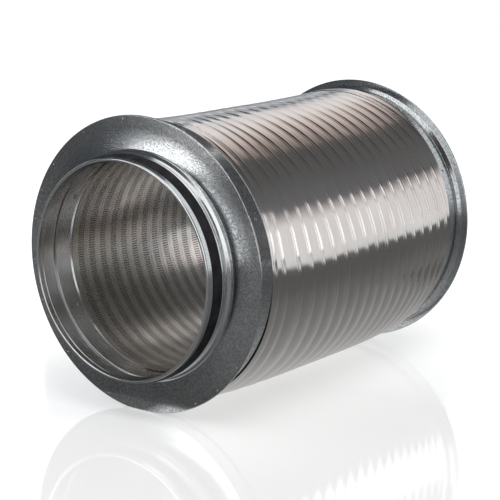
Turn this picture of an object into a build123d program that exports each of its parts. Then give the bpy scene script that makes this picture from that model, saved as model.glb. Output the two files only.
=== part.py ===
from build123d import *
import math
import os

# Round duct silencer with a plug-in spigot at each end.
# All sizes are in millimetres. The duct axis is the Y axis, with the front end at -Y,
# and the origin is on the axis, half way between the two end plates.

# Spigot
spigot_radius = 157.0       # outside of the tube, which plugs into a duct
spigot_wall = 0.7
spigot_reach = 45.0         # from the end plate's face to the mouth
spigot_flange_width = 4.0   # folded flange that rests on the end plate
spigot_flange_thickness = 1.4
sleeve_step = 0.8           # how much narrower the sleeve behind the flange is than the tube
sleeve_reach = 28.0         # from the end plate's face to the spigot's inner edge

# Rolled lip at the spigot's mouth, and the groove behind it for the seal
lip_step = 2.4              # how much narrower the lip is than the tube
lip_height = 4.6
lip_length = 10.5
lip_nose_bevel = 1.8        # stands for the roll's round nose
groove_depth = 4.6
groove_width = 16.0
groove_slope = 1.2          # axial length of the groove's front and rear slopes

# Rubber seal with two lips
seal_base_thickness = 1.6
seal_overhang = 0.5         # how far the seal's lips stand out past the tube
seal_lip_count = 2

# Casing
body_length = 530.0         # between the outer faces of the two end plates
end_plate_width = 50.5      # from the spigot's outside to the outside of the hemmed rim
end_plate_wall = 0.8
hem_width = 5.0             # how far the rim's hem turns back over the collar's flange

# Collar that carries the jacket at each end
collar_flange_width = 10.1  # from the sleeve's outside to the flange's edge in the rim
collar_wall = 0.7
collar_reach = 62.0         # from the end plate's face to the sleeve's inner edge

# Spirally ribbed jacket
jacket_inset = 38.0         # bare collar between the end plate's face and the jacket's edge
jacket_wall = 0.6
rib_pitch = 25.4
rib_width = 9.8             # spans the real jacket's pair of narrow beads
rib_height = 1.2

# Perforated inner pipe, its fleece and the mineral wool
pipe_inset = 6.0            # from the end plate's face to the pipe's edge
pipe_wall = 0.6
liner_inset = 31.0
liner_wall = 1.0

# Blind rivets between the spigot's sleeve and the inner pipe
rivet_count = 6
rivet_first_angle = 30.0
rivet_depth = 18.0          # behind the end plate's face
rivet_shank_radius = 1.6
rivet_head_radius = 3.2
rivet_head_height = 1.1
rivet_tail_radius = 2.5
rivet_tail_height = 1.0

# Clearances
seat_gap = 0.3              # between two pieces that seat on each other
rivet_gap = 0.15            # under a rivet's head and tail

half_body = body_length / 2

# Radii, from the duct axis outward
groove_radius = spigot_radius - groove_depth
sleeve_radius = spigot_radius - sleeve_step
sleeve_inner_radius = sleeve_radius - spigot_wall
pipe_inner_radius = sleeve_radius + seat_gap
pipe_outer_radius = pipe_inner_radius + pipe_wall
liner_inner_radius = pipe_outer_radius + seat_gap
wool_inner_radius = liner_inner_radius + liner_wall + seat_gap
end_plate_radius = spigot_radius + end_plate_width
rim_inner_radius = end_plate_radius - end_plate_wall
collar_flange_radius = rim_inner_radius - seat_gap
collar_radius = collar_flange_radius - collar_flange_width
collar_inner_radius = collar_radius - collar_wall
wool_outer_radius = collar_inner_radius - seat_gap
jacket_inner_radius = collar_radius + seat_gap
jacket_band_radius = jacket_inner_radius + jacket_wall
jacket_rib_radius = jacket_band_radius + rib_height

# Depths behind the end plate's face
collar_flange_front = end_plate_wall + seat_gap
collar_flange_back = collar_flange_front + collar_wall


def face_of(outline):
    """A flat face from (radius, depth) points. Depth counts inward from the front end plate's face."""
    return make_face(Polyline(*[(radius, depth - half_body) for radius, depth in outline], close=True))


def turned(outline):
    """The ring that an outline makes when it is turned about the duct axis."""
    return revolve(face_of(outline), Axis.Y)


def tube(inner_radius, outer_radius, front_depth, back_depth):
    """A plain tube about the duct axis, between two depths."""
    return turned([
        (inner_radius, front_depth),
        (outer_radius, front_depth),
        (outer_radius, back_depth),
        (inner_radius, back_depth),
    ])


def around(shape, count, first_angle):
    """Copies of a shape, evenly spaced about the duct axis."""
    return [Rot(0, first_angle + 360 / count * step, 0) * shape for step in range(count)]


def end_plate():
    """Flat ring whose outer edge is hemmed round the collar's flange."""
    hole_radius = sleeve_radius + seat_gap
    hem_front = collar_flange_back + seat_gap
    hem_back = hem_front + end_plate_wall
    hem_edge_radius = end_plate_radius - hem_width
    return turned([
        (hole_radius, 0),
        (end_plate_radius, 0),
        (end_plate_radius, hem_back),
        (hem_edge_radius, hem_back),
        (hem_edge_radius, hem_front),
        (rim_inner_radius, hem_front),
        (rim_inner_radius, end_plate_wall),
        (hole_radius, end_plate_wall),
    ])


def collar():
    """Sleeve with an outward flange, which the end plate's hem holds."""
    return turned([
        (collar_inner_radius, collar_flange_front),
        (collar_flange_radius, collar_flange_front),
        (collar_flange_radius, collar_flange_back),
        (collar_radius, collar_flange_back),
        (collar_radius, collar_reach),
        (collar_inner_radius, collar_reach),
    ])


def spigot():
    """Tube with a rolled lip, a seal groove, a folded flange and a sleeve that carries the inner pipe."""
    mouth = -spigot_reach
    lip_outer_radius = spigot_radius - lip_step
    lip_inner_radius = lip_outer_radius - lip_height
    inner_radius = spigot_radius - spigot_wall
    groove_inner_radius = groove_radius - spigot_wall
    groove_front = mouth + lip_length + groove_slope
    groove_back = groove_front + groove_width
    shoulder = groove_back + groove_slope
    flange_radius = spigot_radius + spigot_flange_width
    flange_front = -seat_gap - spigot_flange_thickness
    outline = face_of([
        (lip_inner_radius, mouth),
        (lip_outer_radius, mouth),
        (lip_outer_radius, mouth + lip_length),
        (groove_radius, groove_front),
        (groove_radius, groove_back),
        (spigot_radius, shoulder),
        (spigot_radius, flange_front),
        (flange_radius, flange_front),
        (flange_radius, -seat_gap),
        (sleeve_radius, -seat_gap),
        (sleeve_radius, sleeve_reach),
        (sleeve_inner_radius, sleeve_reach),
        (sleeve_inner_radius, -seat_gap),
        (inner_radius, flange_front),
        (inner_radius, shoulder + spigot_wall),
        (groove_inner_radius, groove_back + spigot_wall),
        (groove_inner_radius, groove_front),
        (lip_inner_radius, mouth + lip_length),
    ])
    nose = outline.vertices().group_by(Axis.Y)[0]
    return revolve(chamfer(nose, lip_nose_bevel), Axis.Y)


def seal():
    """Rubber band in the spigot's groove, with lips that lean away from the mouth."""
    front = -spigot_reach + lip_length + groove_slope + seat_gap
    back = front + groove_width - 2 * seat_gap
    foot_radius = groove_radius + seat_gap
    base_radius = foot_radius + seal_base_thickness
    top_radius = spigot_radius + seal_overhang
    lip_pitch = (back - front) / seal_lip_count
    outline = [(foot_radius, back), (foot_radius, front), (base_radius, front)]
    for lip in range(seal_lip_count):
        lip_back = front + lip_pitch * (lip + 1)
        outline += [(top_radius, lip_back - lip_pitch / 4), (base_radius, lip_back)]
    return turned(outline)


def outer_jacket():
    """Aluminium tube with one rib that winds round it.

    A section through every turn of the rib is swept half a turn along a helix, which moves it by
    half a pitch. The other half of the tube is the same sweep, turned round and moved on. The two
    are joined, and then bored and cut to length.
    """
    jacket_length = body_length - 2 * jacket_inset
    turns = math.ceil(jacket_length / rib_pitch) + 3
    start = -turns * rib_pitch / 2
    rough_bore_radius = jacket_inner_radius - rib_height
    outline = [(rough_bore_radius, start)]
    for turn in range(turns):
        foot = start + turn * rib_pitch
        outline += [
            (jacket_band_radius, foot),
            (jacket_rib_radius, foot + rib_width / 2),
            (jacket_band_radius, foot + rib_width),
        ]
    outline += [(jacket_band_radius, -start), (rough_bore_radius, -start)]
    section = make_face(Polyline(*outline, close=True))
    helix = Rot(-90, 0, 0) * Helix(rib_pitch, rib_pitch / 2, jacket_band_radius)
    half_tube = sweep(section, path=helix, is_frenet=True)
    other_half = Pos(0, rib_pitch / 2, 0) * (Rot(0, 180, 0) * half_tube)
    clear_radius = jacket_rib_radius + rib_height
    blank = tube(jacket_inner_radius, clear_radius, jacket_inset, body_length - jacket_inset)
    return (half_tube + other_half) & blank


def rivet():
    """Blind rivet with its axis along +X, at the depth where it holds the pipe to the sleeve."""
    head_top = sleeve_inner_radius - rivet_gap
    tail_foot = pipe_outer_radius + rivet_gap
    outline = Polyline(
        (head_top - rivet_head_height, 0),
        (head_top - rivet_head_height, rivet_head_radius / 2),
        (head_top, rivet_head_radius),
        (head_top, rivet_shank_radius),
        (tail_foot, rivet_shank_radius),
        (tail_foot, rivet_tail_radius),
        (tail_foot + rivet_tail_height, rivet_tail_radius),
        (tail_foot + rivet_tail_height, 0),
        close=True,
    )
    return Pos(0, rivet_depth - half_body, 0) * revolve(make_face(outline), Axis.X)


def rivet_holes(length):
    """Round cutters where the rivets pass, each as long as it is asked to be from the duct axis."""
    hole_radius = rivet_shank_radius + rivet_gap
    drill = Pos(length / 2, rivet_depth - half_body, 0) * (Rot(0, 90, 0) * Cylinder(hole_radius, length))
    return around(drill, rivet_count, rivet_first_angle)


def at_rear(shape):
    """The rear end's twin of a piece at the front end."""
    return mirror(shape, about=Plane.XZ)


holes = Compound(children=rivet_holes(pipe_outer_radius + rivet_tail_height))
front_pieces = {
    "end_plate": end_plate(),
    "collar": collar(),
    "spigot": spigot() - holes,
    "seal": seal(),
    "pipe_rivets": Compound(children=around(rivet(), rivet_count, rivet_first_angle)),
}

pieces = {
    "outer_jacket": outer_jacket(),
    "inner_pipe": tube(pipe_inner_radius, pipe_outer_radius, pipe_inset, body_length - pipe_inset)
    - holes - at_rear(holes),
    "wool_liner": tube(liner_inner_radius, liner_inner_radius + liner_wall,
                       liner_inset, body_length - liner_inset),
    "wool_sleeve": tube(wool_inner_radius, wool_outer_radius,
                        end_plate_wall + seat_gap, body_length - end_plate_wall - seat_gap),
}
for name, piece in front_pieces.items():
    pieces["front_" + name] = piece
    pieces["rear_" + name] = at_rear(piece)

os.makedirs("parts", exist_ok=True)
for name, piece in pieces.items():
    export_step(piece, f"parts/{name}.step")
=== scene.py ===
import math

import bmesh
import bpy
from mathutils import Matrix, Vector, noise

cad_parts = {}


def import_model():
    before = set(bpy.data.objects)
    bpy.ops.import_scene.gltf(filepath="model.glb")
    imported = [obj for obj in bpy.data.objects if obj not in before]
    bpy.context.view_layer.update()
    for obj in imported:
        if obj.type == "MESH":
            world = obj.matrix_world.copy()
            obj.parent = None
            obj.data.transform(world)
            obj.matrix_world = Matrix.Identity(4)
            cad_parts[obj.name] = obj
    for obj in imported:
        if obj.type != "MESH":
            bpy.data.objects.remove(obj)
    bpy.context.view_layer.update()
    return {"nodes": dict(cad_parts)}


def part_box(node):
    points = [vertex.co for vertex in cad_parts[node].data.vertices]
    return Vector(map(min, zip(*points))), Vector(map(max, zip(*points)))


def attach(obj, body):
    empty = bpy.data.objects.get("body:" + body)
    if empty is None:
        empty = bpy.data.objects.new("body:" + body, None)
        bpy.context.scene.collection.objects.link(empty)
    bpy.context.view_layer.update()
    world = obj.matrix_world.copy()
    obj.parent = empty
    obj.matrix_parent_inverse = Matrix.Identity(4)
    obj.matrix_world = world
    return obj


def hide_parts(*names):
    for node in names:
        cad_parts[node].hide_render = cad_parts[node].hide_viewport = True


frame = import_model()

# Lengths are in metres, unless a comment says mm. The duct axis is the Y axis, and the front end is at -Y.
MM = 0.001

# Places read from the model
PLATE_FACE = -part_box("front_end_plate")[0].y
PLATE_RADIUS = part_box("front_end_plate")[1].x
JACKET_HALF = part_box("outer_jacket")[1].y
PIPE_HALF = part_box("inner_pipe")[1].y
PIPE_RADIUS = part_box("inner_pipe")[1].x
FLOOR_Z = -PLATE_RADIUS

# Sheet gauges
PLATE_WALL = 0.8 * MM
COLLAR_WALL = 0.7 * MM
SPIGOT_WALL = 0.7 * MM
JACKET_WALL = 0.6 * MM
PIPE_WALL = 0.5 * MM

# Radius of the collar's sleeve under the jacket
COLLAR_RADIUS = 196.3 * MM
# How far the end plate is drawn forward where it meets the spigot, in mm
PLATE_SWELL = 2.8
# Where the hem is pressed onto the collar's flange, in degrees
RIM_MARK_ANGLES = (98, 81, 66, 42, 11, -11, -35, -49, -62, -84, -108, -134, -158, -175, 168, 155, 142, 120)

# Inner pipe's winding, and the rows of holes in each turn of it
PIPE_PITCH = 23.4 * MM
HOLE_BAND_START = 8.0 * MM
HOLE_ROW_STEP = 2.4 * MM
HOLE_ROWS = 5
HOLES_PER_TURN = 276
HOLE_RADIUS = 0.95 * MM

# Mesh fineness
ROUND_SEGMENTS = 240
WOUND_SEGMENTS = 150
SMOOTH_ANGLE = math.radians(38)
# Where each turn of a wound tube starts
FIRST_ANGLE = math.radians(12)


# Outlines

def in_mm(*corners):
    """Corners with their values in mm, turned into metres."""
    return [tuple(value * MM for value in corner) for corner in corners]


def bend_arc(before, corner, after, steps):
    """Points along the arc at a (radius, depth, bend radius) corner, or its tip where it has no radius."""
    tip = Vector(corner[:2])
    bend = corner[2]
    if bend <= 0:
        return [tip]
    towards_before = (Vector(before[:2]) - tip).normalized()
    towards_after = (Vector(after[:2]) - tip).normalized()
    half_angle = towards_before.angle(towards_after) / 2
    reach = bend / math.tan(half_angle)
    centre = tip + (towards_before + towards_after).normalized() * (bend / math.sin(half_angle))
    start = tip + towards_before * reach - centre
    end = tip + towards_after * reach - centre
    turn = start.angle_signed(end)
    arc = []
    for step in range(steps + 1):
        angle = -turn * step / steps
        cosine, sine = math.cos(angle), math.sin(angle)
        arc.append(centre + Vector((start.x * cosine - start.y * sine, start.x * sine + start.y * cosine)))
    return arc


def rounded(corners, steps=5):
    """Points along a path of corners, with an arc at each bend.

    A point close to each arc's end keeps the straight stretch beside it flat when it is shaded smooth.
    """
    flat_point_gap = 0.4 * MM
    arcs = [[Vector(corners[0][:2])]]
    arcs += [bend_arc(*trio, steps) for trio in zip(corners, corners[1:], corners[2:])]
    arcs.append([Vector(corners[-1][:2])])
    points = arcs[0][:]
    for arc, following in zip(arcs, arcs[1:]):
        along = following[0] - arc[-1]
        beside = along.normalized() * min(flat_point_gap, along.length / 3)
        if len(arc) > 1:
            points.append(arc[-1] + beside)
        if len(following) > 1:
            points.append(following[0] - beside)
        points += following
    return points


def sheet_outline(path, wall):
    """The closed outline of a sheet whose middle follows a path."""
    left, right = [], []
    for index, point in enumerate(path):
        before = path[max(index - 1, 0)]
        after = path[min(index + 1, len(path) - 1)]
        along = (after - before).normalized()
        aside = Vector((-along.y, along.x)) * (wall / 2)
        left.append(point + aside)
        right.append(point - aside)
    return left + right[::-1]


# Meshes

def angles_around(count):
    """Evenly spaced angles, once round."""
    return [2 * math.pi * segment / count for segment in range(count)]


def about_axis(radius, angle, y, drop=0.0):
    """The place at a radius and an angle about the duct axis, let down by a drop."""
    return radius * math.cos(angle), y, radius * math.sin(angle) - drop


def placed(name, data):
    """A new object in the scene."""
    made = bpy.data.objects.new(name, data)
    bpy.context.scene.collection.objects.link(made)
    return made


def finish_mesh(name, build, material, slot, *nodes):
    """Turns a bmesh into a smooth-shaded piece that rides on the duct and stands for its nodes."""
    bmesh.ops.recalc_face_normals(build, faces=build.faces)
    mesh = bpy.data.meshes.new(name)
    build.to_mesh(mesh)
    build.free()
    mesh.polygons.foreach_set("use_smooth", [True] * len(mesh.polygons))
    mesh.set_sharp_from_angle(angle=SMOOTH_ANGLE)
    piece = placed(name, mesh)
    mesh.materials.append(material)
    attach(piece, "root")
    if nodes:
        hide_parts(*nodes)


def join_rings(build, pairs):
    """Faces between the rings of each pair, which have as many points each."""
    for ring, following in pairs:
        for index in range(len(ring)):
            after = (index + 1) % len(ring)
            build.faces.new((ring[index], ring[after], following[after], following[index]))


def lathe(outline, end):
    """A ring turned about the duct axis from (radius, depth) points, at the front (-1) or rear (1) end.

    Depth counts inward from the end plate's face.
    """
    build = bmesh.new()
    rings = []
    for angle in angles_around(ROUND_SEGMENTS):
        places = [about_axis(radius, angle, end * (PLATE_FACE - depth)) for radius, depth in outline]
        rings.append([build.verts.new(place) for place in places])
    join_rings(build, zip(rings, rings[1:] + rings[:1]))
    return build


def closed_tube(outer, inner):
    """A tube from the rings of its outside and inside, each from front to rear, closed at both ends."""
    build = bmesh.new()
    rings = [[build.verts.new(point) for point in ring] for ring in outer + inner[::-1]]
    join_rings(build, zip(rings, rings[1:] + rings[:1]))
    return build


def wound(profile, turns, place):
    """A tube whose wall follows a spiral. The rear edge of each turn meets the front edge of the next.

    profile gives the points of one turn's section, for a number of turns and parts of a turn. place
    gets the values of such a point and an angle, and gives the place in space.
    """
    build = bmesh.new()
    columns = []
    for segment in range(WOUND_SEGMENTS):
        part = segment / WOUND_SEGMENTS
        angle = FIRST_ANGLE - 2 * math.pi * part
        points = [point for turn in turns for point in profile(turn + part)]
        columns.append([build.verts.new(place(*point, angle)) for point in points])
    per_turn = len(profile(0))
    count = len(columns[0])
    for segment, here in enumerate(columns):
        wraps = segment == WOUND_SEGMENTS - 1
        there = columns[0] if wraps else columns[segment + 1]
        shift = per_turn if wraps else 0
        for index in range(count - 1 - shift):
            corners = (here[index], here[index + 1], there[index + 1 + shift], there[index + shift])
            build.faces.new(corners)
    return build


def cut_square(build, half_length):
    """Cuts a wound tube to length, square to the axis."""
    for side in (-1, 1):
        geometry = build.verts[:] + build.edges[:] + build.faces[:]
        bmesh.ops.bisect_plane(build, geom=geometry, plane_co=(0, side * half_length, 0),
                               plane_no=(0, side, 0), clear_outer=True)


def extruded(build, rims, moved):
    """Extrudes open edges, moves each new point, and gives back the new open edges."""
    made = bmesh.ops.extrude_edge_only(build, edges=rims)["geom"]
    for item in made:
        if isinstance(item, bmesh.types.BMVert):
            item.co = moved(item.co)
    return [item for item in made if isinstance(item, bmesh.types.BMEdge) and item.is_boundary]


def fold_in(build, half_length, depth):
    """Folds a wound tube's cut edges inward by a depth and then back along it, so that its wall shows.

    With a negative depth they are folded outward.
    """
    back_share = 0.985
    tolerance = 1e-6

    def inward(place):
        reach = math.hypot(place.x, place.z)
        scale = (reach - depth) / reach
        return Vector((place.x * scale, place.y, place.z * scale))

    def back(place):
        return Vector((place.x, place.y * back_share, place.z))

    rims = [edge for edge in build.edges if edge.is_boundary
            and all(abs(abs(vert.co.y) - half_length) < tolerance for vert in edge.verts)]
    extruded(build, extruded(build, rims, inward), back)


# Material building

def add(tree, kind, *values, **settings):
    """A new node with its inputs set in order: a socket is linked, a value is written, None is skipped."""
    made = tree.nodes.new(kind)
    for key, value in settings.items():
        setattr(made, key, value)
    for socket, value in zip(made.inputs, values):
        if value is not None:
            fill(tree, socket, value)
    return made


def fill(tree, socket, value):
    """Links another node's socket to an input, or writes a plain value into it."""
    if isinstance(value, bpy.types.NodeSocket):
        tree.links.new(value, socket)
    else:
        socket.default_value = value


def connect(tree, shader, **inputs):
    """Sets the shader's named inputs, with underscores for spaces."""
    for key, value in inputs.items():
        fill(tree, shader.inputs[key.replace("_", " ")], value)


def maths(tree, operation, *values):
    """The result of a maths node."""
    return add(tree, "ShaderNodeMath", *values, operation=operation).outputs[0]


def ramp(tree, factor, *stops):
    """A colour or value ramp from (position, grey or colour) stops."""
    made = add(tree, "ShaderNodeValToRGB", factor)
    elements = made.color_ramp.elements
    while len(elements) < len(stops):
        elements.new(0.5)
    for element, (position, colour) in zip(elements, stops):
        element.position = position
        if isinstance(colour, (int, float)):
            colour = (colour, colour, colour)
        element.color = (*colour, 1)
    return made.outputs[0]


def mixed(tree, factor, first, second, blend="MIX"):
    """Two colours mixed by a factor. The node's inputs 6 and 7 and its output 2 are those for colours."""
    made = add(tree, "ShaderNodeMix", factor, data_type="RGBA", blend_type=blend)
    fill(tree, made.inputs[6], first)
    fill(tree, made.inputs[7], second)
    return made.outputs[2]


def multiplied(tree, first, second):
    """Two colours multiplied with each other."""
    return mixed(tree, 1.0, first, second, "MULTIPLY")


def blended(tree, fine, coarse):
    """Six tenths of a fine pattern and four tenths of a coarse one."""
    return maths(tree, "ADD", maths(tree, "MULTIPLY", fine, 0.6), maths(tree, "MULTIPLY", coarse, 0.4))


def noise_texture(tree, place, scale, **others):
    """The value of a noise texture. Its other inputs go by their own names."""
    made = add(tree, "ShaderNodeTexNoise", place)
    made.inputs["Scale"].default_value = scale
    for key, value in others.items():
        made.inputs[key].default_value = value
    return made.outputs[0]


def bump(tree, height, distance, strength=1.0, normal=None):
    """The normals of a surface that a height pattern moves, on top of another bump where one is given."""
    made = add(tree, "ShaderNodeBump")
    made.inputs["Strength"].default_value = strength
    made.inputs["Distance"].default_value = distance
    tree.links.new(height, made.inputs["Height"])
    if normal:
        tree.links.new(normal, made.inputs["Normal"])
    return made.outputs[0]


def along_axis(tree, place, axis):
    """A place's value along one axis, X, Y or Z."""
    return add(tree, "ShaderNodeSeparateXYZ", place).outputs[axis]


def polar(tree, place):
    """The angle about the duct axis and the place along it."""
    angle = maths(tree, "ARCTAN2", along_axis(tree, place, "Z"), along_axis(tree, place, "X"))
    return angle, along_axis(tree, place, "Y")


def new_material(name):
    """A material with its node tree, its main shader and the place on the object."""
    material = bpy.data.materials.new(name)
    material.use_nodes = True
    tree = material.node_tree
    shader = tree.nodes["Principled BSDF"]
    place = add(tree, "ShaderNodeTexCoord").outputs["Object"]
    return material, tree, shader, place


# Materials

def galvanised(name, rough, smooth, dark, middle, light):
    """Zinc-coated steel with small spangles, cloudy patches and a slight waviness."""
    material, tree, shader, place = new_material(name)
    spangle = add(tree, "ShaderNodeTexVoronoi", place, feature="F1")
    spangle.inputs["Scale"].default_value = 760
    shade = add(tree, "ShaderNodeSeparateColor", spangle.outputs["Color"]).outputs[0]
    tone = blended(tree, shade, noise_texture(tree, place, scale=16, Detail=4))
    colour = ramp(tree, tone,
                  (0.15, (dark, dark + 0.03, dark + 0.05)),
                  (0.55, (middle, middle + 0.02, middle + 0.03)),
                  (0.9, (light, light + 0.01, light + 0.02)))
    roughness = ramp(tree, tone, (0.1, rough), (0.9, smooth))
    wavy = bump(tree, noise_texture(tree, place, scale=9), distance=0.0005)
    crystal = bump(tree, shade, distance=0.000016, strength=0.6, normal=wavy)
    connect(tree, shader, Base_Color=colour, Metallic=1.0, Roughness=roughness, Normal=crystal)
    return material


def jacket_aluminium():
    """Thin bright strip with fine streaks round the duct and soft dents."""
    material, tree, shader, place = new_material("jacket_aluminium")
    angle, along = polar(tree, place)
    drawn = add(tree, "ShaderNodeCombineXYZ", maths(tree, "MULTIPLY", angle, 3.0),
                maths(tree, "MULTIPLY", along, 1100.0), 0.0)
    streak = noise_texture(tree, drawn.outputs[0], scale=1.0, Detail=3)
    cloud = noise_texture(tree, place, scale=11)
    tone = blended(tree, streak, cloud)
    colour = ramp(tree, tone, (0.3, (0.70, 0.675, 0.655)), (0.7, (0.85, 0.835, 0.82)))
    roughness = ramp(tree, tone, (0.3, 0.15), (0.7, 0.08))
    dents = bump(tree, cloud, distance=0.0012)
    lines = bump(tree, streak, distance=0.00003, strength=0.6, normal=dents)
    connect(tree, shader, Base_Color=colour, Metallic=1.0, Roughness=roughness, Normal=lines)
    return material


def hole_mask(tree, place):
    """1 in each round hole of the inner pipe, and 0 elsewhere. The rows of holes follow the winding."""
    # Whole turns and holes that keep the counts above zero
    turns_ahead, holes_ahead = 100.0, 1000.0
    step_around = 2 * math.pi * PIPE_RADIUS / HOLES_PER_TURN

    angle, along = polar(tree, place)
    turn = maths(tree, "DIVIDE", maths(tree, "SUBTRACT", angle, FIRST_ANGLE), 2 * math.pi)
    turns_along = maths(tree, "DIVIDE", maths(tree, "ADD", along, PLATE_FACE), PIPE_PITCH)
    turns_passed = maths(tree, "ADD", maths(tree, "ADD", turns_along, turn), turns_ahead)
    past_start = maths(tree, "SUBTRACT", maths(tree, "FRACT", turns_passed), HOLE_BAND_START / PIPE_PITCH)
    row_place = maths(tree, "DIVIDE", past_start, HOLE_ROW_STEP / PIPE_PITCH)
    across = maths(tree, "SUBTRACT", maths(tree, "FRACT", row_place), 0.5)
    hole_place = maths(tree, "ADD", maths(tree, "MULTIPLY", turn, HOLES_PER_TURN), holes_ahead)
    beside = maths(tree, "SUBTRACT", maths(tree, "FRACT", hole_place), 0.5)

    across_squared = maths(tree, "POWER", maths(tree, "MULTIPLY", across, HOLE_ROW_STEP), 2.0)
    beside_squared = maths(tree, "POWER", maths(tree, "MULTIPLY", beside, step_around), 2.0)
    reach = maths(tree, "SQRT", maths(tree, "ADD", across_squared, beside_squared))
    in_hole = maths(tree, "LESS_THAN", reach, HOLE_RADIUS)
    in_band = maths(tree, "MULTIPLY", maths(tree, "GREATER_THAN", row_place, 0.0),
                    maths(tree, "LESS_THAN", row_place, HOLE_ROWS))
    return maths(tree, "MULTIPLY", in_hole, in_band)


def pipe_aluminium():
    """Dull strip with rows of small round perforations, which are dark and not metal."""
    material, tree, shader, place = new_material("pipe_aluminium")
    hole = hole_mask(tree, place)
    metal = maths(tree, "SUBTRACT", 1.0, hole)
    cloud = noise_texture(tree, place, scale=25, Detail=5)
    strip = ramp(tree, cloud, (0.3, (0.63, 0.615, 0.58)), (0.7, (0.79, 0.775, 0.745)))
    # The holes' near-black is the dark fleece seen through them, with painted shade in each hole
    colour = mixed(tree, hole, strip, (0.03, 0.025, 0.02, 1))
    roughness = ramp(tree, cloud, (0.3, 0.28), (0.7, 0.18))
    dents = bump(tree, cloud, distance=0.0003)
    pierced = bump(tree, metal, distance=0.0005, normal=dents)
    connect(tree, shader, Base_Color=colour, Metallic=metal, Roughness=roughness, Normal=pierced)
    return material


def rubber():
    """Black rubber, a little uneven in shade and gloss."""
    material, tree, shader, place = new_material("seal_rubber")
    cloud = noise_texture(tree, place, scale=60, Detail=6)
    colour = ramp(tree, cloud, (0.3, (0.006, 0.006, 0.007)), (0.75, (0.022, 0.022, 0.025)))
    roughness = ramp(tree, cloud, (0.3, 0.6), (0.7, 0.45))
    connect(tree, shader, Base_Color=colour, Roughness=roughness, Specular_IOR_Level=0.2,
            Normal=bump(tree, cloud, distance=0.0001))
    return material


def fibres(name, dark, light, scale):
    """Matted fibres, for the fleece and the mineral wool."""
    material, tree, shader, place = new_material(name)
    mat = noise_texture(tree, place, scale, Detail=9, Distortion=2.5)
    colour = ramp(tree, mat, (0.3, dark), (0.7, light))
    connect(tree, shader, Base_Color=colour, Roughness=0.95, Normal=bump(tree, mat, distance=0.001))
    return material


def rivet_aluminium():
    """Clean satin aluminium with fine wear."""
    material, tree, shader, place = new_material("rivet_aluminium")
    wear = noise_texture(tree, place, scale=400)
    colour = ramp(tree, wear, (0.3, (0.66, 0.66, 0.66)), (0.7, (0.84, 0.84, 0.83)))
    roughness = ramp(tree, wear, (0.3, 0.35), (0.7, 0.2))
    connect(tree, shader, Base_Color=colour, Metallic=1.0, Roughness=roughness)
    return material


STEEL = galvanised("galvanised_steel", rough=0.22, smooth=0.13, dark=0.42, middle=0.72, light=0.95)
# A lighter copy of the galvanised steel for the spigot, whose paler shades are painted light
LIT_SPIGOT_STEEL = galvanised("spigot_steel_painted_light", rough=0.22, smooth=0.14, dark=0.86, middle=0.91, light=0.96)
JACKET = jacket_aluminium()
PIPE = pipe_aluminium()
RUBBER = rubber()
RIVET = rivet_aluminium()
FLEECE = fibres("fleece", (0.03, 0.03, 0.03), (0.13, 0.125, 0.12), scale=500)
WOOL = fibres("mineral_wool", (0.34, 0.27, 0.12), (0.74, 0.62, 0.34), scale=220)


# Pieces of both ends. Corners of outlines are in mm: radius, depth and bend radius.

def end_plate(name, end):
    """Flat ring, drawn forward a little towards the spigot, with a hemmed rim."""
    hole_radius, swell_end, hem_radius, rim_radius = 156.8, 192.0, 202.5, 207.1
    front_sheet, hem_sheet, hem_bend = 0.4, 2.4, 0.75
    swell_steps, steepness = 12, 1.8
    swell = []
    for step in range(swell_steps):
        share = 1 - step / swell_steps
        radius = hole_radius + (swell_end - hole_radius) * (1 - share)
        swell.append((radius, front_sheet - PLATE_SWELL * share ** steepness, 0))
    path = rounded(in_mm(
        *swell,
        (swell_end, front_sheet, 0),
        (rim_radius, front_sheet, hem_bend),
        (rim_radius, hem_sheet, hem_bend),
        (hem_radius, hem_sheet),
    ))
    build = lathe(sheet_outline(path, PLATE_WALL), end)
    finish_mesh(name + "_plate_skin", build, STEEL, "galvanised_steel", name + "_end_plate")


def collar(name, end):
    """Ring with a flange in the plate's hem, a shallow dip behind it, and a sleeve under the jacket."""
    flange_edge, flange_foot, dip, sleeve_start, sleeve_edge = 206.2, 197.0, 191.6, 196.7, 196.0
    flange_depth = 1.5
    path = rounded(in_mm(
        (flange_edge, flange_depth),
        (flange_foot, flange_depth, 1.6),
        (dip, 8.0, 5.0),
        (sleeve_start, 39.5, 3.0),
        (sleeve_edge, 62.0),
    ))
    build = lathe(sheet_outline(path, COLLAR_WALL), end)
    finish_mesh(name + "_collar_skin", build, STEEL, "galvanised_steel", name + "_collar")


def spigot(name, end):
    """Tube with a rolled lip, a groove for the seal, a flange on the plate and a sleeve inside."""
    lip, mouth, groove, tube = 150.4, 154.3, 152.05, 156.65
    flange, sleeve, sleeve_edge = 161.4, 156.0, 154.4
    mouth_depth = -44.6
    plate_depth = -PLATE_SWELL
    path = rounded(in_mm(
        (lip, -37.0),
        (lip, mouth_depth, 1.3),
        (mouth, mouth_depth, 1.6),
        (mouth, -34.8, 1.2),
        (groove, -33.2, 1.0),
        (groove, -17.6, 1.2),
        (tube, -16.0, 1.6),
        (tube, plate_depth - 5.0, 1.2),
        (flange, plate_depth - 2.8, 0.9),
        (flange, plate_depth - 0.4, 0.75),
        (sleeve, plate_depth - 0.4, 0.5),
        (sleeve, 25.2, 1.2),
        (sleeve_edge, 27.9),
    ))
    build = lathe(sheet_outline(path, SPIGOT_WALL), end)
    finish_mesh(name + "_spigot_skin", build, LIT_SPIGOT_STEEL, "galvanised_steel", name + "_spigot")


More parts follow.
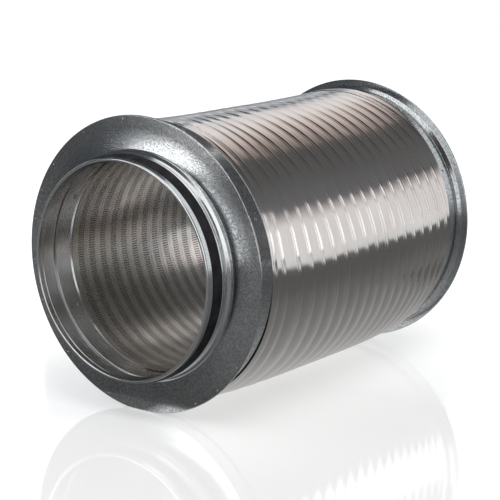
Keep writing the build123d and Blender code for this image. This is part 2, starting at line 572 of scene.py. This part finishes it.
def seal(name, end):
    """Band in the spigot's groove, with two lips that lean away from the mouth."""
    band, lip = 152.7, 157.5
    front_edge, rear_edge = -32.9, -17.9
    start = (153.2, rear_edge)
    outline = rounded(in_mm(
        start,
        (band, rear_edge, 0.2),
        (band, front_edge, 0.2),
        (154.5, front_edge, 0.6),
        (lip, -27.6, 0.35),
        (155.6, -25.8, 0.3),
        (154.6, -25.2, 0.5),
        (lip, -20.4, 0.35),
        (155.6, -18.6, 0.3),
        (154.2, rear_edge, 0.2),
        start,
    ))[:-1]
    build = lathe(outline, end)
    finish_mesh(name + "_seal_skin", build, RUBBER, "rubber", name + "_seal")


def domes(name, places, radius, height):
    """Small round pressed marks. places gives each one's middle and the way that it faces."""
    segments = 12
    ring_shares = (1.0, 0.72, 0.4)
    sunk = 0.1 * MM
    build = bmesh.new()
    for middle, facing in places:
        turn = Vector(facing).to_track_quat("Z", "Y")
        rows = []
        for share in ring_shares:
            ring = []
            for angle in angles_around(segments):
                flat = Vector((math.cos(angle), math.sin(angle), 0)) * radius * share
                lift = Vector((0, 0, height * (1 - share ** 2) - sunk))
                ring.append(build.verts.new(Vector(middle) + turn @ (flat + lift)))
            rows.append(ring)
        join_rings(build, zip(rows, rows[1:]))
        build.faces.new(rows[-1])
    finish_mesh(name, build, STEEL, "galvanised_steel")


def rim_marks(name, end):
    """Marks of the pressing on the end plate's rim."""
    circle_radius = 202.6 * MM
    places = []
    for degrees in RIM_MARK_ANGLES:
        middle = about_axis(circle_radius, math.radians(degrees), end * PLATE_FACE)
        places.append((middle, (0, end, 0)))
    domes(name + "_rim_marks", places, radius=1.5 * MM, height=0.7 * MM)


def collar_marks(name, end):
    """Six pressed marks on the collar, between the end plate and the jacket's edge."""
    circle_radius, depth = 195.4 * MM, 27 * MM
    places = []
    for degrees in range(25, 360, 60):
        angle = math.radians(degrees)
        out = Vector((math.cos(angle), 0, math.sin(angle)))
        middle = out * circle_radius + Vector((0, end * (PLATE_FACE - depth), 0))
        places.append((middle, out))
    domes(name + "_collar_marks", places, radius=2.4 * MM, height=0.9 * MM)


# Pieces between the ends

def free(y, power):
    """How far a place along the jacket is free of the collars that hold its ends: 0 to 1."""
    return max(0.0, 1 - abs(y / JACKET_HALF) ** power)


def bead_pair_depth(turn):
    """Depth in mm of the middle of a bead pair at FIRST_ANGLE.

    The first three pairs lie close together, and the fourth further on. After it the step shrinks slowly.
    """
    first_depth, close_step, wide_step, usual_step, tightening = 28, 17, 33, 28, 0.16
    if turn < 2:
        return first_depth + close_step * turn
    third_depth = first_depth + 2 * close_step
    if turn < 3:
        return third_depth + wide_step * (turn - 2)
    return third_depth + wide_step + usual_step * (turn - 3) - tightening * (turn - 3) ** 2


def jacket():
    """Spiral strip with a pair of low beads on each turn, which sags and twists between the collars."""
    # Section of a bead pair, in mm
    bead_step = 6.4
    pair_reach = 4.9
    pair_rise = 0.38
    front_bead, rear_bead = 0.15, 0.11
    bead_half_width = 1.5
    # Share of those bead heights at the front end, and what it gains over a length in mm
    front_share, gain, gain_length = 0.93, 0.34, 500
    # Swelling of the strip from pair to pair, all round and on the lower side, in mm
    even_swell, lower_swell = 0.02, 2.6
    # How far the tube is out of true
    twist = 28 * MM
    sag = 6.3 * MM
    bulge = 1.6 * MM
    dent = 0.5 * MM
    # How closely the dents follow each other, round the tube and along it
    dents_around, dents_along = 1.6, 11
    # Where the upper side's twist starts, and how long it takes to come in full, in mm
    twist_start, twist_reach = 60, 120
    # Winding, with more turns than the tube needs, so that it can be cut square
    base_radius = COLLAR_RADIUS + 1.1 * MM
    turns = range(-3, 23)
    pair_steps, strip_steps = 17, 10

    def held_back(depth):
        """How far the upper side's twist has come at a depth in mm: 0 to 1."""
        share = min(max((depth - twist_start) / twist_reach, 0), 1)
        return share * share * (3 - 2 * share)

    def bead(offset, middle, height):
        reach = min(abs(offset - middle) / bead_half_width, 1)
        return height * (0.5 + 0.5 * math.cos(math.pi * reach))

    def pair(offset, taller):
        """Height in mm across a bead pair: a front bead, and a lower rear one, on a slight rise."""
        share = min(max(offset / bead_step + 0.5, 0), 1)
        rise = pair_rise * (0.5 - 0.5 * math.cos(math.pi * share))
        front = bead(offset, -bead_step / 2, front_bead * taller)
        return rise + front + bead(offset, bead_step / 2, rear_bead * taller)

    def profile(turn):
        """Points of one turn's bead pair and the strip behind it: height, share of the swelling and depth.

        The strip swells between the rear edge of one pair and that of the next.
        """
        before, middle, following = (bead_pair_depth(turn + step) for step in (-1, 0, 1))
        points = []
        taller = front_share + gain * middle / gain_length
        for step in range(pair_steps + 1):
            offset = pair_reach * (2 * step / pair_steps - 1)
            past = (middle - before + offset - pair_reach) / (middle - before)
            points.append((pair(offset, taller), math.sin(math.pi * past), middle + offset))
        gap = following - middle - 2 * pair_reach
        for step in range(1, strip_steps):
            share = step / strip_steps
            fall = pair_rise * (1 - share)
            past = gap * share / (following - middle)
            points.append((fall, math.sin(math.pi * past), middle + pair_reach + gap * share))
        return points

    def place(height, swell, depth, angle):
        y = depth * MM - PLATE_FACE
        lift = math.sin(angle) - math.sin(FIRST_ANGLE)
        y -= twist * lift * (free(y, 2) if lift < 0 else held_back(depth))
        spot = Vector((math.cos(angle) * dents_around, y * dents_along, math.sin(angle) * dents_around))
        # Greatest halfway between the sides and the bottom
        below = abs(math.sin(2 * angle)) if angle % (2 * math.pi) > math.pi else 0.0
        height += swell * (even_swell + lower_swell * below)
        radius = base_radius + height * MM + (bulge + dent * noise.noise(spot)) * free(y, 4)
        return about_axis(radius, angle, y, sag * free(y, 4))

    build = wound(profile, turns, place)
    cut_square(build, JACKET_HALF)
    fold_in(build, JACKET_HALF, JACKET_WALL)
    finish_mesh("jacket_skin", build, JACKET, "jacket_aluminium", "outer_jacket")


def inner_pipe():
    """Spiral strip with a flat bead beside each perforated band."""
    # Bead and pitch, in mm
    bead_height, bead_width = 0.035, 5.0
    pitch = PIPE_PITCH / MM
    # Winding, with more turns than the tube needs, so that it can be cut square
    base_radius = PIPE_RADIUS - 0.3 * MM
    turns = range(-2, 24)
    samples = 16

    def profile(turn):
        points = []
        for step in range(samples):
            along = pitch * step / samples
            reach = min(abs(along - bead_width / 2) / (bead_width / 2), 1)
            points.append((bead_height * (0.5 + 0.5 * math.cos(math.pi * reach)), pitch * turn + along))
        return points

    def place(height, depth, angle):
        return about_axis(base_radius - height * MM, angle, depth * MM - PLATE_FACE)

    build = wound(profile, turns, place)
    cut_square(build, PIPE_HALF)
    fold_in(build, PIPE_HALF, -PIPE_WALL)
    finish_mesh("pipe_skin", build, PIPE, "pipe_aluminium", "inner_pipe")


def wool():
    """Thick mat with a soft uneven surface, whose outside sags with the jacket."""
    outer_radius, inner_radius = 190.8 * MM, 161.0 * MM
    outer_sag = 5.0 * MM
    unevenness = 0.6 * MM
    # How closely the lumps follow each other, round the mat and along it
    lumps_around, lumps_along = 5, 30
    half_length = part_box("wool_sleeve")[1].y
    segments, half_steps = 96, 15

    def ring(radius, y, sag):
        points = []
        for angle in angles_around(segments):
            x, z = math.cos(angle) * lumps_around, math.sin(angle) * lumps_around
            uneven = radius + unevenness * noise.noise(Vector((x, y * lumps_along, z)))
            points.append(about_axis(uneven, angle, y, sag * free(y, 4)))
        return points

    stations = [half_length * (step / half_steps - 1) for step in range(2 * half_steps + 1)]
    outer = [ring(outer_radius, y, outer_sag) for y in stations]
    inner = [ring(inner_radius, y, 0) for y in stations]
    finish_mesh("wool_mat", closed_tube(outer, inner), WOOL, "mineral_wool", "wool_sleeve")


for end_name, side in (("front", -1), ("rear", 1)):
    end_plate(end_name, side)
    collar(end_name, side)
    spigot(end_name, side)
    seal(end_name, side)
    rim_marks(end_name, side)
    collar_marks(end_name, side)
jacket()
inner_pipe()
wool()

# Nodes that keep the model's own mesh
for node_name, material in (
    ("front_pipe_rivets", RIVET),
    ("rear_pipe_rivets", RIVET),
    ("wool_liner", FLEECE),
):
    mesh = frame["nodes"][node_name].data
    mesh.materials.clear()
    mesh.materials.append(material)


# Ground and surroundings

def shown_directly(tree):
    """1 for what the camera, mirrors and clear things show, and 0 for the light on matt surfaces."""
    path = add(tree, "ShaderNodeLightPath")
    by_mirror = maths(tree, "MAXIMUM", path.outputs["Is Glossy Ray"], path.outputs["Is Transmission Ray"])
    return maths(tree, "MAXIMUM", path.outputs["Is Camera Ray"], by_mirror)


def level_square(size, z):
    """Corners of a level square about the Z axis, which reaches a size to each side."""
    return [(-size, -size, z), (size, -size, z), (size, size, z), (-size, size, z)]


def floor():
    """White ground that keeps the shadow, with a faint mirror image close to the duct."""
    mesh = bpy.data.meshes.new("floor")
    mesh.from_pydata(level_square(9.0, FLOOR_Z), [], [(0, 1, 2, 3)])
    plane = placed("floor", mesh)
    material, tree, shader, place = new_material("floor_white")
    connect(tree, shader, Base_Color=(0.55, 0.55, 0.55, 1), Roughness=1.0, Specular_IOR_Level=0.0)
    glow_level = maths(tree, "MULTIPLY", shown_directly(tree), 0.70)
    glow = add(tree, "ShaderNodeEmission", (1, 1, 1, 1), glow_level).outputs[0]
    ground = add(tree, "ShaderNodeAddShader", shader.outputs[0], glow).outputs[0]
    mirror_middle = Vector((0.3, -0.4, FLOOR_Z))
    away = add(tree, "ShaderNodeVectorMath", place, mirror_middle, operation="DISTANCE").outputs["Value"]
    strength = ramp(tree, away, (0.0, 0.38), (0.4, 0.34), (0.95, 0.0))
    mirror = add(tree, "ShaderNodeBsdfAnisotropic", (1, 1, 1, 1), 0.05).outputs[0]
    polished = add(tree, "ShaderNodeMixShader", strength, ground, mirror).outputs[0]
    tree.links.new(polished, tree.nodes["Material Output"].inputs["Surface"])
    mesh.materials.append(material)


def world():
    """White surroundings, which look brighter than the light that they give."""
    given_light, shown_light = 0.55, 0.45
    made = bpy.data.worlds.new("studio")
    bpy.context.scene.world = made
    made.use_nodes = True
    tree = made.node_tree
    strength = maths(tree, "ADD", given_light, maths(tree, "MULTIPLY", shown_directly(tree), shown_light))
    connect(tree, tree.nodes["Background"], Strength=strength, Color=(1, 1, 1, 1))


# Cards that mirrors show

def panel(name, corners, colour_at):
    """A flat light or flag that only mirrors see, from its front side.

    colour_at builds its colour from the node tree and the place on the panel.
    """
    mesh = bpy.data.meshes.new(name)
    mesh.from_pydata(corners, [], [tuple(range(len(corners)))])
    piece = placed(name, mesh)
    piece.visible_camera = False
    piece.visible_diffuse = False
    piece.visible_transmission = False
    piece.visible_volume_scatter = False
    piece.visible_shadow = False
    material = bpy.data.materials.new(name)
    material.use_nodes = True
    tree = material.node_tree
    tree.nodes.remove(tree.nodes["Principled BSDF"])
    place = add(tree, "ShaderNodeTexCoord").outputs["Object"]
    front = add(tree, "ShaderNodeEmission", colour_at(tree, place), 1.0).outputs[0]
    clear = add(tree, "ShaderNodeBsdfTransparent").outputs[0]
    from_behind = add(tree, "ShaderNodeNewGeometry").outputs["Backfacing"]
    shown = add(tree, "ShaderNodeMixShader", from_behind, front, clear).outputs[0]
    tree.links.new(shown, tree.nodes["Material Output"].inputs["Surface"])
    mesh.materials.append(material)
    return piece


def card(name, azimuths, elevations, distance, colour_at):
    """An upright panel between two azimuths and two elevations, seen from the duct's middle.

    Azimuth is counted from +Y towards +X, in degrees. colour_at gets the place on the panel: across it,
    from 0 at the first azimuth to 1 at the second, and up it, from 0 to 1.
    """
    middle = math.radians(sum(azimuths) / 2)
    half_width = distance * math.tan(math.radians(azimuths[1] - azimuths[0]) / 2)
    low, high = (distance * math.tan(math.radians(value)) for value in elevations)
    corners = [(-half_width, 0, low), (half_width, 0, low), (half_width, 0, high), (-half_width, 0, high)]

    def colour(tree, place):
        off_middle = maths(tree, "DIVIDE", along_axis(tree, place, "X"), 2 * half_width)
        share = maths(tree, "ADD", 0.5, off_middle)
        above_low = maths(tree, "SUBTRACT", along_axis(tree, place, "Z"), low)
        rise = maths(tree, "DIVIDE", above_low, high - low)
        return colour_at(tree, share, rise)

    piece = panel(name, corners, colour)
    piece.location = (distance * math.sin(middle), distance * math.cos(middle), 0)
    piece.rotation_euler = (0, 0, -middle)


def plain_glow(*colour):
    """A glow of one colour, a tenth weaker at its second azimuth than at its first."""
    weaker = tuple(0.9 * value for value in colour)

    def glow(tree, share, rise):
        return ramp(tree, share, (0.0, colour), (1.0, weaker))

    return glow


def softbox_glow(tree, share, rise):
    """An even light with a hot stripe, dark beyond the stripe, which fades towards its top."""
    soft = (0.82, 0.795, 0.795)
    across = ramp(tree, share, (0.0, 0.6), (0.05, soft), (0.665, soft),
                  (0.69, 1.6), (0.81, 1.6), (0.85, 0.12), (1.0, 0.07))
    upward = ramp(tree, rise, (0.0, 1.0), (0.78, 1.0), (1.0, 0.15))
    return multiplied(tree, across, upward)


def flag_glow(tree, share, rise):
    """Dark cloth, darkest at its second azimuth and towards its top."""
    across = ramp(tree, share, (0.0, 0.15), (0.3, 0.115),
                  (0.6, (0.15, 0.15, 0.16)), (0.75, 0.07), (1.0, 0.05))
    upward = ramp(tree, rise, (0.0, 1.3), (0.25, 0.95), (0.45, 0.6), (1.0, 0.5))
    return multiplied(tree, across, upward)


def warm_glow(tree, share, rise):
    """A warm light, strongest low down near its first azimuth."""
    across = ramp(tree, share, (0.0, (0.8, 0.78, 0.78)), (0.25, (0.9, 0.84, 0.82)),
                  (0.5, (0.72, 0.62, 0.58)), (0.75, (0.5, 0.42, 0.39)), (1.0, (0.28, 0.23, 0.21)))
    upward = ramp(tree, rise, (0.0, 1.0), (0.27, 1.0), (0.36, 0.4), (0.45, 0.12), (1.0, 0.08))
    return multiplied(tree, across, upward)


def ground_painted_shade():
    """What mirrors see of the ground: painted shadow and light, in a pattern that differs on each side of
    the duct.
    """
    just_above = FLOOR_Z + 0.002
    side_reach = 2.5
    front_edge, front_start, front_reach = -0.3, -0.25, 3.5
    rear_edge, rear_side = 0.42, 0.3
    shaded_start, shaded_slant = 0.7, 0.55

    def colour(tree, place):
        x, y = along_axis(tree, place, "X"), along_axis(tree, place, "Y")
        # Painted shade and light beside the duct: painted shadow under it, painted light close beside it,
        # darker further out, and white far off
        side = ramp(tree, maths(tree, "DIVIDE", x, side_reach),
                    (0.0, 0.13), (0.012, 0.62), (0.028, 0.53), (0.044, 0.45), (0.06, 0.37), (0.08, 0.28),
                    (0.108, 0.205), (0.144, 0.16), (0.2, 0.115), (0.4, 0.09), (0.46, 0.8))
        # Painted shade on the ground off to the side
        shaded = ramp(tree, x, (0.0, 0.2), (0.4, 0.15), (0.8, 0.08), (1.0, 0.1))
        ahead = maths(tree, "DIVIDE", maths(tree, "SUBTRACT", front_start, y), front_reach)
        # Painted shade ahead of the near end, white far off
        front = ramp(tree, ahead, (0.0, 0.06), (0.04, 0.09),
                     (0.08, 0.14), (0.22, 0.17), (0.42, 0.07), (0.95, 0.06), (1.0, 1.0))
        in_front = maths(tree, "LESS_THAN", y, front_edge)
        behind = maths(tree, "MULTIPLY", maths(tree, "GREATER_THAN", y, rear_edge),
                       maths(tree, "LESS_THAN", x, rear_side))
        past_slant = maths(tree, "LESS_THAN", maths(tree, "ADD", y, shaded_slant), x)
        off_side = maths(tree, "MULTIPLY", past_slant, maths(tree, "GREATER_THAN", x, shaded_start))
        # Painted shadow of the duct on the ground behind it
        with_rear_shadow = mixed(tree, behind, side, (0.11, 0.11, 0.105, 1))
        with_shade = mixed(tree, off_side, with_rear_shadow, shaded)
        return mixed(tree, in_front, with_shade, front)

    panel("ground_painted_shade", level_square(4.5, just_above), colour)


def plate_reflector():
    """White board ahead of the near end plate, which shows it as a bright wedge above a soft spot."""
    board_y = -1.0
    board = [(-0.446, -0.008), (-0.468, 0.05), (-0.52, 0.13), (-0.67, 0.19), (-0.67, 0.4),
             (-0.2, 0.4), (-0.2, 0.26), (-0.362, 0.083)]
    spot_middle = Vector((-0.326, board_y - 0.01, -0.131))
    spot_reach, spot_level, dim_level = 0.062, 0.55, 0.052

    def board_glow(tree, place):
        return ramp(tree, along_axis(tree, place, "Z"), (0.0, 1.9), (0.4, 2.1))

    def spot_glow(tree, place):
        away = add(tree, "ShaderNodeVectorMath", place, spot_middle, operation="DISTANCE").outputs["Value"]
        soft = ramp(tree, maths(tree, "DIVIDE", away, spot_reach),
                    (0.0, spot_level), (0.45, 0.8 * spot_level), (1.0, 0.0))
        return ramp(tree, soft, (0.0, dim_level), (1.0, 1.0))

    panel("plate_board", [(x, board_y, z) for x, z in board], board_glow)
    sides = ((-1, -1), (-1, 1), (1, 1), (1, -1))
    spot = [tuple(spot_middle + Vector((x, 0, z)) * spot_reach) for x, z in sides]
    panel("plate_spot", spot, spot_glow)


def far_end_glow():
    """Small light behind the far end, for the inside of the pipe to mirror."""
    y = 0.46
    left, right, low, high = 0.13, 0.19, 0.0, 0.105

    def glow(tree, place):
        x = along_axis(tree, place, "X")
        return ramp(tree, x, (left, (2.0, 1.82, 1.88)), (right, (1.8, 1.65, 1.7)))

    panel("far_end_glow", [(left, y, low), (right, y, low), (right, y, high), (left, y, high)], glow)


# Lamps and camera

def lamp(name, location, size, power):
    """A square lamp that faces the duct's middle and doesn't show, in mirrors either."""
    light = bpy.data.lights.new(name, "AREA")
    light.energy = power
    light.size = size
    holder = placed(name, light)
    holder.location = location
    holder.rotation_mode = "QUATERNION"
    holder.rotation_quaternion = Vector(location).to_track_quat("Z", "Y")
    holder.visible_camera = False
    holder.visible_glossy = False


def camera():
    """The camera at the photograph's viewing angle."""
    data = bpy.data.cameras.new("camera")
    data.lens = 121.2
    data.sensor_width = 36.0
    data.clip_end = 100
    holder = placed("camera", data)
    holder.location = (1.4788, -1.9636, 0.5100)
    sight = Vector((-0.591, 0.778, -0.212))
    holder.rotation_mode = "QUATERNION"
    holder.rotation_quaternion = sight.to_track_quat("-Z", "Y")
    bpy.context.scene.camera = holder


bpy.context.scene.view_settings.view_transform = "Standard"
floor()
world()
camera()
ground_painted_shade()
plate_reflector()
far_end_glow()
card("softbox", (24, 58), (-10, 20), 5.0, softbox_glow)
card("softbox_corner", (38, 48), (17, 23), 4.9, plain_glow(1.1, 1.02, 1.04))
card("flag_over_softbox", (-3, 75), (14, 60), 5.2, flag_glow)
card("flag_left_of_softbox", (-4, 25), (-10, 20), 5.1, plain_glow(0.07, 0.06, 0.055))
card("flag_right_of_softbox", (53, 130), (-10, 60), 5.3, plain_glow(0.05, 0.047, 0.045))
card("warm_softbox", (-34, 0), (17, 60), 5.0, warm_glow)
card("flag_high_left", (-130, -34), (27, 68), 5.2, plain_glow(0.07, 0.07, 0.075))
card("flag_low_left", (-62, -30), (-8, 4), 4.0, plain_glow(0.1, 0.1, 0.1))
card("cool_band", (-48, -27), (4, 17), 5.1, plain_glow(0.42, 0.45, 0.48))
card("flag_front", (186, 275), (-3, 60), 2.8, plain_glow(0.05, 0.055, 0.062))
card("strip_right", (97, 122), (-8, 25), 5.0, plain_glow(0.9, 0.9, 0.9))
lamp("key_lamp", (1.2, -0.8, 2.6), 2.2, 60)
lamp("fill_lamp", (-2.2, -1.6, 1.4), 2.0, 25)
